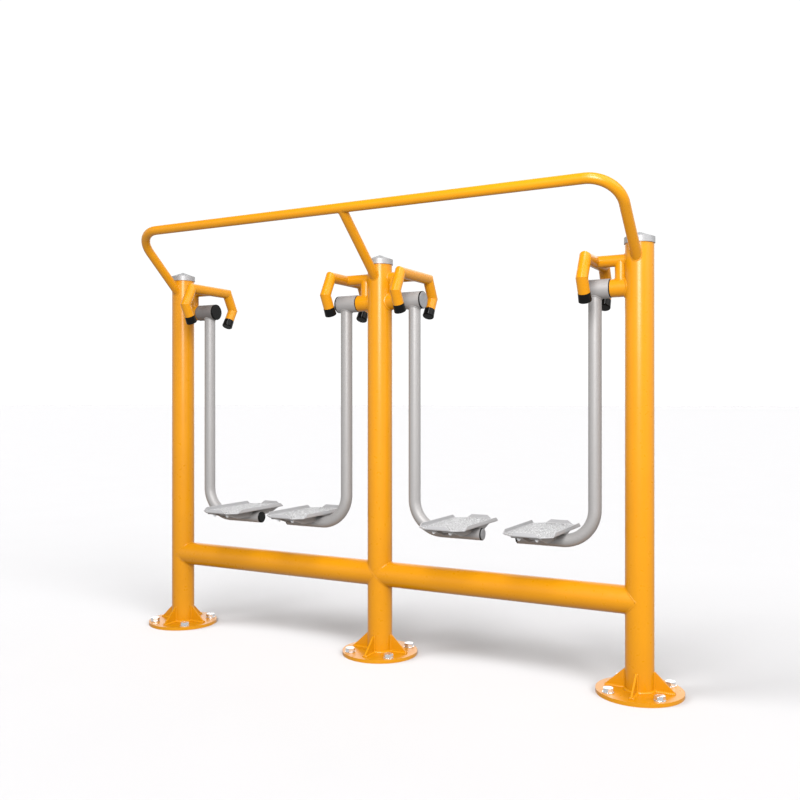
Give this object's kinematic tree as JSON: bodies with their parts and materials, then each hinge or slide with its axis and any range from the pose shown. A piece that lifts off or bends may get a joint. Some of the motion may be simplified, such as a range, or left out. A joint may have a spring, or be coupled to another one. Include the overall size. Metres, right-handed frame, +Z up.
{
  "type": "outdoor air walker",
  "caption": "Street and park air walker: round posts joined by low beams, a raised front grip rail, and pendulum arms with foot plates that swing on ball-bearing pivots between rubber stops",
  "frame": {"origin": "centre of the middle base plate's underside, on the ground under the middle post's axis", "axes": "+X along the row of posts, +Y away from the grip rail, which lies on the -Y side, +Z up"},
  "size_m": [2.128, 0.4538, 1.5718],
  "materials": {
    "orange_powder_coat": "semi-gloss",
    "silver_powder_coat": "satin",
    "plate_coat": "rough satin",
    "cap_metal": "satin",
    "zinc_plated_steel": "satin",
    "bright_steel": "ground",
    "grey_plastic": "matte",
    "black_plastic": "matte",
    "black_rubber": "soft gloss"
  },
  "bodies": {
    "frame": {"left_post": "orange_powder_coat", "middle_post": "orange_powder_coat", "right_post": "orange_powder_coat", "left_lower_beam": "orange_powder_coat", "right_lower_beam": "orange_powder_coat", "left_base_plate": "orange_powder_coat", "middle_base_plate": "orange_powder_coat", "right_base_plate": "orange_powder_coat", "base_gussets": "orange_powder_coat", "anchor_washers": "zinc_plated_steel", "anchor_nuts": "zinc_plated_steel", "post_caps": "cap_metal", "handrail": "orange_powder_coat", "handrail_strut": "orange_powder_coat", "pivot_stubs": "orange_powder_coat", "axles": "bright_steel", "hub_seals": "black_plastic", "bearing_inner_rings": "bright_steel", "bearing_spacers": "bright_steel", "axle_washers": "zinc_plated_steel", "axle_nuts": "zinc_plated_steel", "stop_yoke_1": "orange_powder_coat", "stop_yoke_2": "orange_powder_coat", "stop_yoke_3": "orange_powder_coat", "stop_yoke_4": "orange_powder_coat", "stop_links": "orange_powder_coat", "stop_buffers": "black_rubber"},
    "swing_arm_1": {"hub_1": "silver_powder_coat", "hub_bearings_1": "bright_steel", "swing_tube_1": "silver_powder_coat", "end_plugs_1": "black_plastic", "end_covers_1": "black_plastic", "plate_bars_1": "silver_powder_coat", "foot_plate_1": "plate_coat", "plate_bolts_1": "zinc_plated_steel"},
    "swing_arm_2": {"hub_2": "silver_powder_coat", "hub_bearings_2": "bright_steel", "swing_tube_2": "silver_powder_coat", "end_plugs_2": "black_plastic", "end_covers_2": "grey_plastic", "plate_bars_2": "silver_powder_coat", "foot_plate_2": "plate_coat", "plate_bolts_2": "zinc_plated_steel"},
    "swing_arm_3": {"hub_3": "silver_powder_coat", "hub_bearings_3": "bright_steel", "swing_tube_3": "silver_powder_coat", "end_plugs_3": "black_plastic", "end_covers_3": "grey_plastic", "plate_bars_3": "silver_powder_coat", "foot_plate_3": "plate_coat", "plate_bolts_3": "zinc_plated_steel"},
    "swing_arm_4": {"hub_4": "silver_powder_coat", "hub_bearings_4": "bright_steel", "swing_tube_4": "silver_powder_coat", "end_plugs_4": "black_plastic", "end_covers_4": "grey_plastic", "plate_bars_4": "silver_powder_coat", "foot_plate_4": "plate_coat", "plate_bolts_4": "zinc_plated_steel"}
  },
  "joints": [
    {"name": "swing_arm_1_pivot", "type": "hinge", "parent": "frame", "child": "swing_arm_1", "pos_m": [-0.7982, 0, 1.264], "axis": [1, 0, 0], "range_deg": [-52.5, 52.5]},
    {"name": "swing_arm_2_pivot", "type": "hinge", "parent": "frame", "child": "swing_arm_2", "pos_m": [-0.1308, 0, 1.264], "axis": [1, 0, 0], "range_deg": [-52.5, 52.5]},
    {"name": "swing_arm_3_pivot", "type": "hinge", "parent": "frame", "child": "swing_arm_3", "pos_m": [0.1308, 0, 1.264], "axis": [1, 0, 0], "range_deg": [-52.5, 52.5]},
    {"name": "swing_arm_4_pivot", "type": "hinge", "parent": "frame", "child": "swing_arm_4", "pos_m": [0.7982, 0, 1.264], "axis": [1, 0, 0], "range_deg": [-52.5, 52.5]}
  ]
}
